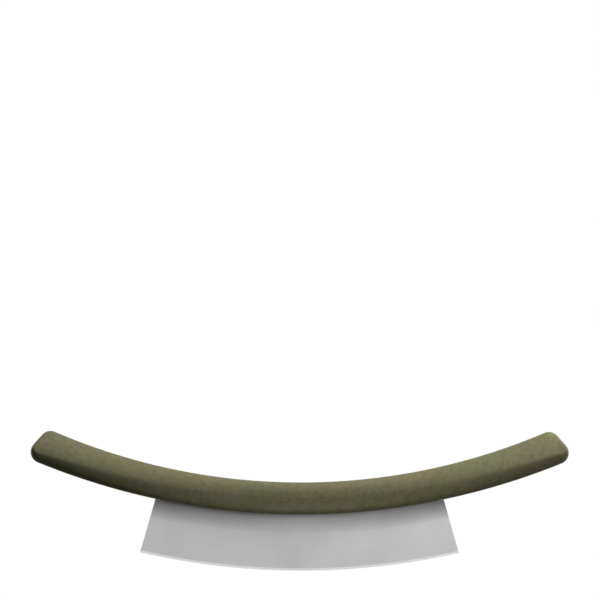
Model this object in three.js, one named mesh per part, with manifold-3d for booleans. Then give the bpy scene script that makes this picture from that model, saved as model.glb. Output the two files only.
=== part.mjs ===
// A two-handed rocking knife: a curved grip bar with a broad steel blade let into its underside.
// Millimetres, +Z up. X runs along the bar, the blade lies in the plane y = 0, and the origin is
// the lowest point of the cutting edge. The bar is two moulded halves that meet on y = 0, close on
// the blade's tang, and are held by dowels pressed across the joint.

import * as THREE from 'three';
import { mergeVertices } from 'three/addons/utils/BufferGeometryUtils.js';
import Module from 'manifold-3d';

const wasm = await Module();
wasm.setup();

// Blade
const BLADE_LENGTH = 225.5; // straight across, from corner to corner of the edge
const BLADE_REACH = 40.1; // lowest point of the edge to the underside of the bar, at mid-length
const BLADE_THICKNESS = 1.8;
const EDGE_RADIUS = 506; // the edge is an arc that rocks on the board
const EDGE_LAND = 0.15; // width of the edge itself
const BEVEL_HEIGHT = 1.6; // ground bevel on each flank
const SIDE_FLARE = 16; // degrees that each side leans out towards the edge
const TANG_SETBACK = 3; // shoulder at each side, where the tang enters the bar
const TANG_RISE = 5; // top of the tang above the bar's centreline

// Grip bar
const BAR_LENGTH = 385; // along its curved centreline, end face to end face
const BAR_RADIUS = 465; // bend of the centreline, ends up
const BAR_HEIGHT = 22; // at mid-length
const BAR_DEPTH = 20; // at mid-length, front to back
const HEIGHT_SWELL = 2.9; // growth of the height from mid-length to the ends
const DEPTH_SWELL = 6; // growth of the depth
const MIDDLE_WAIST = 0.05; // widest line of the section at mid-length, 1 is the crown and -1 the keel
const END_WAIST = -0.42; // widest line at the ends
const MIDDLE_UPPER_POWER = 3; // superellipse above the widest line at mid-length, 2 is an ellipse
const MIDDLE_LOWER_POWER = 10; // below it, a flat face with a crisp lower edge
const MIDDLE_DRAFT = 0.12; // share of the depth that this face loses down to the keel
const END_UPPER_POWER = 1.8; // above the widest line at the ends
const END_LOWER_POWER = 1.7; // below it, drawn in to the keel
const END_SLANT = 18; // degrees that each end face leans back over the bar
const END_CORNER = 8; // radius of the end's upper and lower corner, seen from the front
const END_ROUND = 2.5; // radius of the front and back into the end face
const WALL = 4;
const END_WALL = 3; // from where the end's corners start to the hollow

// Inside the halves
const RIB_THICKNESS = 2;
const OVERHANG_RIBS = 3; // between the outer tang pin and the end pin
const BOSS_WALL = 2.5; // round each pin
const TONGUE_WIDTH = 1;
const TONGUE_HEIGHT = 1.2; // how far the front half's tongue stands past y = 0
const TONGUE_INSET = 2; // outer face of the bar to the middle of the tongue
const TONGUE_MARGIN = 4; // clear of the tang slot, and of the end's corners

// Dowel pins, on the centreline
const TANG_PINS = 5;
const PIN_DIAMETER = 4;
const PIN_CHAMFER = 0.5;
const PIN_COVER = 3.5; // left of the bar over each end of a pin, at mid-length
const TANG_PIN_MARGIN = 16; // end of the tang to its outer pin
const END_PIN_INSET = 16; // end of the hollow to the end pin

// Clearances
const SLOT_CLEARANCE = 0.2; // each flank of the tang to its slot
const SEAT_CLEARANCE = 0.3; // rim of the tang to its slot, and shoulders to the bar
const PIN_CLEARANCE = 0.2; // pin to its hole, on the radius and at each end
const JOINT_CLEARANCE = 0.25; // tongue to groove

// Facets
const BAR_STEPS = 30;
const QUARTER_STEPS = 8; // round a quarter of the bar
const CORNER_STEPS = 6;
const HOLLOW_STEPS = 18;
const HOLLOW_QUARTER_STEPS = 4;
const STRIP_STEP = 14; // length of one step of the tongue
const EDGE_STEPS = 512; // round the whole circle of the edge
const TANG_STEPS = 20;
const PIN_SIDES = 16;

const halfBar = BAR_LENGTH / 2;
const halfBlade = BLADE_LENGTH / 2;
const bendHeight = BLADE_REACH + BAR_HEIGHT / 2 + BAR_RADIUS;
const slant = THREE.MathUtils.degToRad(END_SLANT);
const flare = Math.tan(THREE.MathUtils.degToRad(SIDE_FLARE));
const cornerHeight = EDGE_RADIUS - Math.sqrt(EDGE_RADIUS ** 2 - halfBlade ** 2);

// Steel for the blade and pins, an olive wood-fibre composite for the bar
const composite = new THREE.MeshStandardMaterial({ color: 0x716c50, roughness: 0.8, metalness: 0 });
const brushedSteel = new THREE.MeshStandardMaterial({ color: 0xc4c4c2, roughness: 0.35, metalness: 1 });
const pinSteel = new THREE.MeshStandardMaterial({ color: 0xa9aaab, roughness: 0.3, metalness: 1 });

// Closed three.js geometry to a solid that can be joined and cut
function solidOf(geometry) {
  const bare = geometry.clone();
  bare.deleteAttribute('normal');
  bare.deleteAttribute('uv');
  const welded = mergeVertices(bare);
  return new wasm.Manifold(new wasm.Mesh({
    numProp: 3,
    vertProperties: new Float32Array(welded.attributes.position.array),
    triVerts: new Uint32Array(welded.index.array),
  }));
}

// Solid back to a named mesh
function meshOf(name, solid, material) {
  const { vertProperties, triVerts } = solid.getMesh();
  const geometry = new THREE.BufferGeometry();
  geometry.setAttribute('position', new THREE.BufferAttribute(vertProperties, 3));
  geometry.setIndex(new THREE.BufferAttribute(triVerts, 1));
  geometry.computeVertexNormals();
  const mesh = new THREE.Mesh(geometry, material);
  mesh.name = name;
  return mesh;
}

function joinAll(solids) {
  return solids.reduce((whole, next) => whole.add(next));
}

// Point of the bar: a distance along its centreline from mid-length, a rise above it, and a depth
function place(station, rise, y = 0) {
  const turn = station / BAR_RADIUS;
  const reach = BAR_RADIUS - rise;
  return new THREE.Vector3(reach * Math.sin(turn), y, bendHeight - reach * Math.cos(turn));
}

function halfHeightAt(station) {
  return (BAR_HEIGHT + HEIGHT_SWELL * (station / halfBar) ** 2) / 2;
}

function halfDepthAt(station) {
  return (BAR_DEPTH + DEPTH_SWELL * (station / halfBar) ** 2) / 2;
}

function stationsBetween(from, to, steps) {
  return Array.from({ length: steps + 1 }, (_, i) => from + ((to - from) * i) / steps);
}

// Quarter of a superellipse of unit half-axes, from the widest line to the crown or keel, where x is
// exactly 0. The draft leans its face inwards
class QuarterCurve extends THREE.Curve {
  constructor(power, draft = 0) {
    super();
    this.power = power;
    this.draft = draft;
  }

  getPoint(share, point = new THREE.Vector2()) {
    const angle = (share * Math.PI) / 2;
    const bulge = (value) => (value < 1e-9 ? 0 : value ** (2 / this.power));
    const y = bulge(Math.sin(angle));
    return point.set(bulge(Math.cos(angle)) * (1 - this.draft * y), y);
  }
}

const middleUpper = new QuarterCurve(MIDDLE_UPPER_POWER);
const middleLower = new QuarterCurve(MIDDLE_LOWER_POWER, MIDDLE_DRAFT);
const endUpper = new QuarterCurve(END_UPPER_POWER);
const endLower = new QuarterCurve(END_LOWER_POWER);

// Quarter that is part of the way from its form at mid-length to its form at the ends
function blendedQuarter(middle, end, endShare, steps) {
  const ends = end.getSpacedPoints(steps);
  return middle.getSpacedPoints(steps).map((point, i) => point.lerp(ends[i], endShare));
}

// Rear half of the section, from the keel round the widest line to the crown
function halfOutline(endShare, steps) {
  const lower = blendedQuarter(middleLower, endLower, endShare, steps);
  const upper = blendedQuarter(middleUpper, endUpper, endShare, steps);
  return [...lower.map(({ x, y }) => new THREE.Vector2(x, -y)).reverse(), ...upper.slice(1)];
}

// The three ways to use that outline, each anticlockwise about the bar
const rearSide = (outline) => outline;
const frontSide = (outline) => outline.map(({ x, y }) => new THREE.Vector2(-x, y)).reverse();
const bothSides = (outline) => [...outline, ...frontSide(outline).slice(1, -1)];

// Centre of the end's round corner on the crown (1) or the keel (-1), against the slanted end face
function endCorner(edge) {
  const rise = edge * (halfHeightAt(halfBar - END_CORNER) - END_CORNER);
  return { station: halfBar - rise * Math.tan(slant) - END_CORNER / Math.cos(slant), rise };
}

const crownCorner = endCorner(1);
const keelCorner = endCorner(-1);
const cornerStation = (crownCorner.station + keelCorner.station) / 2;
const endStation = cornerStation + END_CORNER * Math.cos(slant);
const hollowShare = 1 - END_WALL / cornerStation;

// Section stretched between a point of the crown line and a point of the keel line. Towards the ends
// its widest line drops and it turns from a flat face to a lens
function ring({ sides, steps }, crown, keel, halfDepth) {
  const way = Math.min(Math.abs(crown.station + keel.station) / 2 / cornerStation, 1);
  const waist = THREE.MathUtils.lerp(MIDDLE_WAIST, END_WAIST, way ** 3);
  return sides(halfOutline(THREE.MathUtils.smoothstep(way, 0, 1), steps)).map(({ x, y }) => {
    const height = waist + y * (y < 0 ? 1 + waist : 1 - waist);
    const share = (height + 1) / 2;
    return place(
      THREE.MathUtils.lerp(keel.station, crown.station, share),
      THREE.MathUtils.lerp(keel.rise, crown.rise, share),
      x * halfDepth,
    );
  });
}

// Rings along the bar, inset from its outside, to a share of the way to the end's corners
function stretchRings(section, inset, reach, steps) {
  return stationsBetween(-reach, reach, steps).map((share) => {
    const crown = share * crownCorner.station;
    const keel = share * keelCorner.station;
    return ring(
      section,
      { station: crown, rise: halfHeightAt(crown) - inset },
      { station: keel, rise: inset - halfHeightAt(keel) },
      halfDepthAt(share * cornerStation) - inset,
    );
  });
}

// What the end face's round takes off the half-depth, by the distance left to the face
function endRounding(left) {
  const short = END_ROUND - THREE.MathUtils.clamp(left, 0, END_ROUND);
  return END_ROUND - Math.sqrt(END_ROUND ** 2 - short ** 2);
}

// Rings round the corners of one end (-1 left, 1 right), to the flat end face
function cornerRings(section, end) {
  const onCorner = ({ station, rise }, angle) => ({
    station: end * (station + END_CORNER * Math.cos(angle)),
    rise: rise + END_CORNER * Math.sin(angle),
  });
  return stationsBetween(0, 1, CORNER_STEPS).slice(1).map((share) => {
    const crown = onCorner(crownCorner, THREE.MathUtils.lerp(Math.PI / 2, slant, share));
    const keel = onCorner(keelCorner, THREE.MathUtils.lerp(-Math.PI / 2, slant, share));
    const left = endStation - Math.abs(crown.station + keel.station) / 2;
    return ring(section, crown, keel, halfDepthAt(cornerStation) - endRounding(left));
  });
}

// Closed body through a run of convex rings with equal counts
function loft(rings) {
  const count = rings[0].length;
  const last = (rings.length - 1) * count;
  const index = [];
  for (let start = 0; start < last; start += count) {
    for (let i = 0; i < count; i += 1) {
      const a = start + i;
      const b = start + ((i + 1) % count);
      index.push(a, b, a + count, b, b + count, a + count);
    }
  }
  for (let i = 1; i < count - 1; i += 1) {
    index.push(0, i + 1, i, last, last + i, last + i + 1);
  }
  const corners = rings.flat().flatMap((point) => point.toArray());
  const geometry = new THREE.BufferGeometry();
  geometry.setAttribute('position', new THREE.Float32BufferAttribute(corners, 3));
  geometry.setIndex(index);
  return solidOf(geometry);
}

// Half of the bar, solid, to its outside
function barHalf(section) {
  return loft([
    ...cornerRings(section, -1).reverse(),
    ...stretchRings(section, 0, 1, BAR_STEPS),
    ...cornerRings(section, 1),
  ]);
}

// The hollow of both halves together
function barHollow() {
  const section = { sides: bothSides, steps: HOLLOW_QUARTER_STEPS };
  return loft(stretchRings(section, WALL, hollowShare, HOLLOW_STEPS));
}

// Flat plate of an outline in x and z, centred on y = 0
function plate(points, thickness) {
  const outline = new THREE.Shape(points.map((p) => new THREE.Vector2(p.x, p.z)));
  const geometry = new THREE.ExtrudeGeometry(outline, { depth: thickness, bevelEnabled: false });
  return solidOf(geometry.rotateX(Math.PI / 2).translate(0, thickness / 2, 0));
}

// Round bar across the joint, at a station of the centreline
function crossCylinder(station, radius, halfLength) {
  const geometry = new THREE.CylinderGeometry(radius, radius, 2 * halfLength, PIN_SIDES);
  const { x, z } = place(station, 0);
  return solidOf(geometry.translate(x, 0, z));
}

// Half-width of the blade at a height, along its flared side
function bladeSideAt(height) {
  return halfBlade - (height - cornerHeight) * flare;
}

// The shoulders stop just under the bar
function shoulderRise(station) {
  return -halfHeightAt(station) - SEAT_CLEARANCE;
}

// Where the blade's flared side meets the line of the shoulders, found by halving
function shoulderStation() {
  let inside = 0;
  let outside = halfBar;
  while (outside - inside > 1e-4) {
    const middle = (inside + outside) / 2;
    const { x, z } = place(middle, shoulderRise(middle));
    if (x < bladeSideAt(z)) inside = middle;
    else outside = middle;
  }
  return inside;
}

const shoulder = shoulderStation();
const tangEnd = shoulder - TANG_SETBACK;

// Tang from its root, just below the shoulders, to its top, grown by a clearance for its slot
function tangOutline(clearance) {
  const stations = stationsBetween(-tangEnd - clearance, tangEnd + clearance, TANG_STEPS);
  const root = stations.map((station) => place(station, shoulderRise(station) - SEAT_CLEARANCE));
  const top = stations.map((station) => place(station, TANG_RISE + clearance));
  return [...root, ...top.reverse()];
}

// Exposed blade up to its shoulders. It runs below the edge, and the edge's disc trims it
function bladeOutline() {
  const below = -BEVEL_HEIGHT;
  const top = stationsBetween(shoulder, -shoulder, TANG_STEPS)
    .map((station) => place(station, shoulderRise(station)));
  const foot = bladeSideAt(below);
  return [{ x: -foot, z: below }, { x: foot, z: below }, ...top];
}

// Disc whose V-shaped rim is the edge with its two ground bevels
function edgeDisc() {
  const bevelRun = BLADE_THICKNESS / 2 - EDGE_LAND / 2;
  const rimRadius = EDGE_RADIUS - 2 * BEVEL_HEIGHT;
  const rimHalf = EDGE_LAND / 2 + 2 * bevelRun;
  const profile = [
    [0, -rimHalf],
    [rimRadius, -rimHalf],
    [EDGE_RADIUS, -EDGE_LAND / 2],
    [EDGE_RADIUS, EDGE_LAND / 2],
    [rimRadius, rimHalf],
    [0, rimHalf],
  ].map(([radius, y]) => new THREE.Vector2(radius, y));
  return solidOf(new THREE.LatheGeometry(profile, EDGE_STEPS).translate(0, 0, EDGE_RADIUS));
}

const outerTangPin = tangEnd - TANG_PIN_MARGIN;
const endPin = hollowShare * cornerStation - END_PIN_INSET;
const tangPins = stationsBetween(-outerTangPin, outerTangPin, TANG_PINS - 1);
const allPins = [-endPin, ...tangPins, endPin];
const pinRadius = PIN_DIAMETER / 2;
const pinHalf = BAR_DEPTH / 2 - PIN_COVER;

// Ribs stand midway between the tang pins, and evenly along each overhang
function ribStations() {
  const between = tangPins.slice(1).map((station, i) => (station + tangPins[i]) / 2);
  const overhang = stationsBetween(outerTangPin, endPin, OVERHANG_RIBS + 1).slice(1, -1);
  return [...between, ...overhang, ...overhang.map((station) => -station)];
}

function rib(station) {
  const span = 2 * Math.max(BAR_HEIGHT, BAR_DEPTH);
  const geometry = new THREE.BoxGeometry(RIB_THICKNESS, span, span).rotateY(-station / BAR_RADIUS);
  const { x, z } = place(station, 0);
  return solidOf(geometry.translate(x, 0, z));
}

// Strip along the joint near the crown (1) or the keel (-1), rooted in the front half
function jointStrip(from, to, edge, clearance) {
  const halfWidth = TONGUE_WIDTH / 2 + clearance;
  const tip = TONGUE_HEIGHT + clearance;
  const steps = Math.ceil((to - from) / STRIP_STEP);
  return loft(stationsBetween(from - clearance, to + clearance, steps).map((station) => {
    const middle = edge * (halfHeightAt(station) - TONGUE_INSET);
    return [
      place(station, middle - halfWidth, -TONGUE_WIDTH),
      place(station, middle - halfWidth, tip),
      place(station, middle + halfWidth, tip),
      place(station, middle + halfWidth, -TONGUE_WIDTH),
    ];
  }));
}

// The crown's strip runs end to end, the keel's two stop at the tang slot
function jointStrips(clearance) {
  const far = cornerStation - TONGUE_MARGIN;
  const near = tangEnd + TONGUE_MARGIN;
  return joinAll([
    jointStrip(-far, far, 1, clearance),
    jointStrip(near, far, -1, clearance),
    jointStrip(-far, -near, -1, clearance),
  ]);
}

// A moulded half: shell, ribs and bosses, then the slot for the tang and the blind pin holes
function mouldedHalf(sides) {
  const section = { sides, steps: QUARTER_STEPS };
  const midWall = loft(stretchRings(section, WALL / 2, 1, BAR_STEPS));
  const bosses = allPins.map((station) => crossCylinder(station, pinRadius + BOSS_WALL, BAR_DEPTH));
  const stiffeners = joinAll([...bosses, ...ribStations().map(rib)]).intersect(midWall);
  const slot = plate(tangOutline(SEAT_CLEARANCE), BLADE_THICKNESS + 2 * SLOT_CLEARANCE);
  const holes = joinAll(allPins.map((station) => (
    crossCylinder(station, pinRadius + PIN_CLEARANCE, pinHalf + PIN_CLEARANCE)
  )));
  return barHalf(section).subtract(barHollow()).add(stiffeners).subtract(slot).subtract(holes);
}

function blade() {
  const blank = plate(bladeOutline(), BLADE_THICKNESS).add(plate(tangOutline(0), BLADE_THICKNESS));
  const holes = joinAll(tangPins.map((station) => (
    crossCylinder(station, pinRadius + PIN_CLEARANCE, BLADE_THICKNESS)
  )));
  return blank.intersect(edgeDisc()).subtract(holes);
}

function pin(name, station) {
  const profile = [
    [0, -pinHalf],
    [pinRadius - PIN_CHAMFER, -pinHalf],
    [pinRadius, -pinHalf + PIN_CHAMFER],
    [pinRadius, pinHalf - PIN_CHAMFER],
    [pinRadius - PIN_CHAMFER, pinHalf],
    [0, pinHalf],
  ].map(([radius, y]) => new THREE.Vector2(radius, y));
  const mesh = meshOf(name, solidOf(new THREE.LatheGeometry(profile, PIN_SIDES)), pinSteel);
  mesh.position.copy(place(station, 0));
  return mesh;
}

const knife = new THREE.Group();
knife.name = 'rocking_knife';
knife.add(meshOf('blade', blade(), brushedSteel));
knife.add(meshOf('handle_front_half', mouldedHalf(frontSide).add(jointStrips(0)), composite));
knife.add(meshOf('handle_rear_half', mouldedHalf(rearSide).subtract(jointStrips(JOINT_CLEARANCE)), composite));
tangPins.forEach((station, i) => knife.add(pin(`tang_pin_${i + 1}`, station)));
knife.add(pin('end_pin_left', -endPin), pin('end_pin_right', endPin));

export default knife;
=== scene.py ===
"""Dresses the rocking knife: an olive grip bar in two moulded halves, a ground steel blade and hidden dowels.

Bars and plates are drawn out straight and lying flat, with their length along X, their rise along Y and their
front facing +Z. They are then bent round the bar's radius and stood up in the frame. Sizes are in metres.
"""

import logging
import math
from contextlib import contextmanager
from dataclasses import dataclass, field
from enum import Enum
from typing import Any, Callable, Iterator, Sequence

import bmesh
import bpy
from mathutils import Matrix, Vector


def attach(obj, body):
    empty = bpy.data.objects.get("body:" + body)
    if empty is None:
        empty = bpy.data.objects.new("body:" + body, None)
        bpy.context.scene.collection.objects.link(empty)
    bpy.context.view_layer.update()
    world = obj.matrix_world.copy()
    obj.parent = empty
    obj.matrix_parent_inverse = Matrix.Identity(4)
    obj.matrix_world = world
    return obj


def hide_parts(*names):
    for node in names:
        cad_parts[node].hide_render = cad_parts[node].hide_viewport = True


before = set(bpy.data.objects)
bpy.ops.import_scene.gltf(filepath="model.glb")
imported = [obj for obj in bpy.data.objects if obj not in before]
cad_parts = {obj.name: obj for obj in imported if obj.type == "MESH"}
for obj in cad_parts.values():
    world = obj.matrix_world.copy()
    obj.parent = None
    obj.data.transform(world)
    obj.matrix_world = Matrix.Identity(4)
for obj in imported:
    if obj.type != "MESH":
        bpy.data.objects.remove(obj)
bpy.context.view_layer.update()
log = logging.getLogger("rocking_knife")

MM = 0.001
# Points closer than this count as one
TOUCH = 0.001 * MM
# The same on a section of unit size
UNIT_TOUCH = 1e-4
# Range that most of a noise texture lies in
NOISE_SPAN = (0.30, 0.70)
SMOOTH_ANGLE = math.radians(30)
BODY = "root"

Piece = bpy.types.Object
Node = bpy.types.Node
Socket = bpy.types.NodeSocket
Colour = tuple[float, float, float, float]


class Side(Enum):
    """Which half of the grip: the sign is the direction it faces along Z while it lies flat."""

    FRONT = 1
    REAR = -1


class Edge(Enum):
    """Upper or lower line of the bar, as the sign of its rise."""

    CROWN = 1
    KEEL = -1


class Section(Enum):
    """Outline that is drawn out along a bar."""

    UPPER_QUARTER = "upper quarter"
    LOWER_QUARTER = "lower quarter"
    BLOCK = "block"


class Cut(Enum):
    """How a tool body acts on a piece."""

    REMOVE = "DIFFERENCE"
    ADD = "UNION"
    KEEP = "INTERSECT"


class Pick(Enum):
    """What a selection in edit mode is made of."""

    CORNERS = "VERT"
    EDGES = "EDGE"
    FACES = "FACE"


class Slot(Enum):
    """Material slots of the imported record."""

    STEEL = "blade_steel"
    COMPOSITE = "handle_composite"
    DOWEL = "pin_steel"


@dataclass(frozen=True)
class Ring:
    """One section of a drawn-out bar, by the foot of its upright.

    The foot lies on the joint plane. The section stands up (or hangs down) from it by height, reaches out by
    depth, and leans back by lean.
    """

    along: float
    rise: float
    height: float
    depth: float
    lean: float = 0.0

    @property
    def foot(self) -> tuple[float, float, float]:
        """Place of the foot while the bar lies flat."""
        return (self.along, self.rise, 0.0)


def mix(low: float, high: float, share: float) -> float:
    """Value a share of the way from low to high."""
    return low + (high - low) * share


def steps(low: float, high: float, count: int) -> list[float]:
    """Evenly spaced values from low to high, both included."""
    return [mix(low, high, i / count) for i in range(count + 1)]


def take(*pieces: Piece) -> None:
    """Deselect everything, then select these objects and make the first one active.

    Args:
        pieces: Objects to select.
    """
    if bpy.context.mode != "OBJECT":
        bpy.ops.object.mode_set(mode="OBJECT")
    bpy.ops.object.select_all(action="DESELECT")
    for piece in pieces:
        piece.select_set(True)
    bpy.context.view_layer.objects.active = pieces[0]


@contextmanager
def editing(piece: Piece) -> Iterator[None]:
    """Edit mode on one piece, with nothing selected, and object mode afterwards.

    Args:
        piece: The object to edit.
    """
    take(piece)
    bpy.ops.object.mode_set(mode="EDIT")
    bpy.ops.mesh.select_mode(type="FACE")
    bpy.ops.mesh.select_all(action="DESELECT")
    yield
    bpy.ops.object.mode_set(mode="OBJECT")


def pick(piece: Piece, kind: Pick, wanted: Callable[[Any], bool]) -> None:
    """In edit mode, select just the corners, edges or faces that pass a test.

    Args:
        piece: The object in edit mode.
        kind: What to select.
        wanted: Test of one of them, by its place, its normal or what lies beside it.
    """
    bpy.ops.mesh.select_mode(type=kind.value)
    bpy.ops.mesh.select_all(action="DESELECT")
    mesh = bmesh.from_edit_mesh(piece.data)
    parts = {Pick.CORNERS: mesh.verts, Pick.EDGES: mesh.edges, Pick.FACES: mesh.faces}
    for part in parts[kind]:
        part.select_set(wanted(part))
    bmesh.update_edit_mesh(piece.data)


def face_outwards() -> None:
    """In edit mode, turn all faces of a closed body outwards."""
    bpy.ops.mesh.select_all(action="SELECT")
    bpy.ops.mesh.normals_make_consistent(inside=False)


def settle() -> None:
    """Put the selected object's place, turn and scale into its mesh."""
    bpy.ops.object.transform_apply(location=True, rotation=True, scale=True)


def apply_modifier(piece: Piece, kind: str, **settings: Any) -> None:
    """Add a modifier, set it and apply it.

    Args:
        piece: The object to change.
        kind: Blender's name of the modifier type.
        settings: Values of the modifier.
    """
    take(piece)
    modifier = piece.modifiers.new(kind, kind)
    for name, value in settings.items():
        setattr(modifier, name, value)
    bpy.ops.object.modifier_apply(modifier=modifier.name)


def work(piece: Piece, tool: Piece, cut: Cut) -> None:
    """Remove, add or keep the volume of a tool body.

    Args:
        piece: The object to change.
        tool: The body to use on it, which stays.
        cut: What to do with the tool's volume.
    """
    apply_modifier(piece, "BOOLEAN", object=tool, operation=cut.value, solver="EXACT")


def discard(*tools: Piece) -> None:
    """Delete tool bodies that have done their work."""
    take(*tools)
    bpy.ops.object.delete()


def copy_of(piece: Piece, name: str) -> Piece:
    """Copy of a piece with a mesh of its own.

    Args:
        piece: The object to copy.
        name: Name of the copy.

    Returns:
        The copy.
    """
    take(piece)
    bpy.ops.object.duplicate(linked=False)
    bpy.context.object.name = name
    return bpy.context.object


def joined(name: str, parts: Sequence[Piece]) -> Piece:
    """Several objects made one, with doubled points merged.

    Args:
        name: Name of the result.
        parts: Objects to join.

    Returns:
        The joined object.
    """
    take(*parts)
    if len(parts) > 1:
        bpy.ops.object.join()
    whole = bpy.context.object
    whole.name = name
    with editing(whole):
        bpy.ops.mesh.select_all(action="SELECT")
        bpy.ops.mesh.remove_doubles(threshold=TOUCH)
        face_outwards()
    return whole


def draw_out(name: str, section: Section, rings: Sequence[Ring], power: float = 2.0,
             facets: int = 1, draft: float = 0.0) -> Piece:
    """Draw a section out along X by extruding it from ring to ring.

    Args:
        name: Name of the body.
        section: Quarter of a rounded bar, or a block on both sides of the joint plane.
        rings: Sections in order along the bar.
        power: Power of the superellipse that rounds a quarter.
        facets: Steps round a quarter.
        draft: Share of the depth that a lower quarter loses from its widest line to its foot.

    Returns:
        The closed body, straight and lying flat.
    """
    up = -1 if section is Section.LOWER_QUARTER else 1
    out = 0 if section is Section.BLOCK else 1
    bpy.ops.object.select_all(action="DESELECT")
    bpy.ops.mesh.primitive_plane_add(size=1, rotation=(0, math.pi / 2, 0), location=(0, up / 2, out / 2))
    piece = bpy.context.object
    piece.name = name
    if section is Section.BLOCK:
        piece.scale = (2, 1, 1)
    settle()
    if section is not Section.BLOCK:
        with editing(piece):
            pick(piece, Pick.CORNERS, lambda corner: corner.co.z > 0.5 and abs(corner.co.y) > 0.5)
            superellipse = 2 ** (-2 / power)
            bpy.ops.mesh.bevel(offset=1.0, segments=facets, profile=superellipse, affect="VERTICES")
            bpy.ops.mesh.select_all(action="SELECT")
            bpy.ops.mesh.remove_doubles(threshold=UNIT_TOUCH)
    if draft:
        apply_modifier(piece, "SIMPLE_DEFORM", deform_method="TAPER", deform_axis="Y", factor=draft)
    with editing(piece):
        bpy.ops.mesh.select_all(action="SELECT")
        before = Ring(0.0, 0.0, 1.0, 1.0)
        for number, ring in enumerate(rings):
            if number:
                bpy.ops.mesh.extrude_region()
            if before.lean:
                bpy.ops.transform.rotate(value=before.lean, orient_axis="Z", center_override=before.foot)
            growth = (1.0, ring.height / before.height, ring.depth / before.depth)
            bpy.ops.transform.resize(value=growth, center_override=before.foot)
            if ring.lean:
                bpy.ops.transform.rotate(value=-ring.lean, orient_axis="Z", center_override=before.foot)
            bpy.ops.transform.translate(value=Vector(ring.foot) - Vector(before.foot))
            before = ring
        face_outwards()
    return piece


def blend_shape(piece: Piece, other: Piece, share: Callable[[float], float]) -> None:
    """Pull a body towards another one of the same build, by a share that changes along X.

    Args:
        piece: The body to change.
        other: The body to pull towards, which is used up.
        share: Share of the other body, from a place along X.
    """
    take(piece, other)
    bpy.ops.object.join_shapes()
    group = piece.vertex_groups.new(name="share")
    for corner in piece.data.vertices:
        group.add([corner.index], share(corner.co.x), "REPLACE")
    key = piece.data.shape_keys.key_blocks[-1]
    key.vertex_group = group.name
    key.value = 1.0
    take(piece)
    piece.active_shape_key_index = 1
    bpy.ops.object.shape_key_remove(all=True, apply_mix=True)
    piece.vertex_groups.clear()
    discard(other)


def stands_on_foot(corner: bmesh.types.BMVert, rings: Sequence[Ring]) -> bool:
    """Whether a corner of a drawn-out quarter lies on the line of its rings' feet."""
    return any(math.hypot(corner.co.x - ring.along, corner.co.y - ring.rise) < 2 * TOUCH for ring in rings)


def on_joint_plane(part: bmesh.types.BMFace | bmesh.types.BMEdge) -> bool:
    """Whether a face or edge of a flat-lying body lies in the joint plane."""
    return all(abs(corner.co.z) < TOUCH for corner in part.verts)


def on_seam(edge: bmesh.types.BMEdge) -> bool:
    """Whether an edge of a flat-lying half divides its joint face from its outside."""
    sides = [on_joint_plane(face) for face in edge.link_faces]
    return on_joint_plane(edge) and sorted(sides) == [False, True]


def keeps_depth(edge: bmesh.types.BMEdge) -> bool:
    """Whether both ends of a standing body's edge have the same depth."""
    return abs(edge.verts[0].co.y - edge.verts[1].co.y) < 5 * TOUCH


@dataclass
class Bend:
    """The arc that the straight stock is bent to."""

    radius: float = 465 * MM
    lift: float = 51.1 * MM

    def apply(self, piece: Piece) -> None:
        """Bend a straight body ends up, then stand it up in the frame.

        Args:
            piece: Body that lies flat along X.
        """
        along = [corner.co.x for corner in piece.data.vertices]
        angle = (max(along) - min(along)) / self.radius
        apply_modifier(piece, "SIMPLE_DEFORM", deform_method="BEND", deform_axis="Z", angle=angle)
        piece.rotation_euler = (math.pi / 2, 0, 0)
        piece.location = (0, 0, self.lift)
        settle()

    def place(self, along: float, rise: float = 0.0) -> Vector:
        """Point of the bar in the frame.

        Args:
            along: Distance along the centreline from mid-length.
            rise: Height above the centreline.

        Returns:
            The point, on the blade's plane.
        """
        turn = along / self.radius
        reach = self.radius - rise
        return Vector((reach * math.sin(turn), 0, self.lift + self.radius - reach * math.cos(turn)))


@dataclass(frozen=True)
class Fullness:
    """How full the bar's section is above and below its widest line.

    Upper and lower are powers of superellipses. Draft is the share of the depth that is lost from the widest
    line down to the keel.
    """

    upper: float
    lower: float
    draft: float = 0.0

    def of(self, section: Section) -> dict[str, float]:
        """Power and draft of one quarter.

        Args:
            section: Which quarter.

        Returns:
            The values by the names that draw_out takes.
        """
        if section is Section.UPPER_QUARTER:
            return {"power": self.upper}
        return {"power": self.lower, "draft": self.draft}


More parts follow.
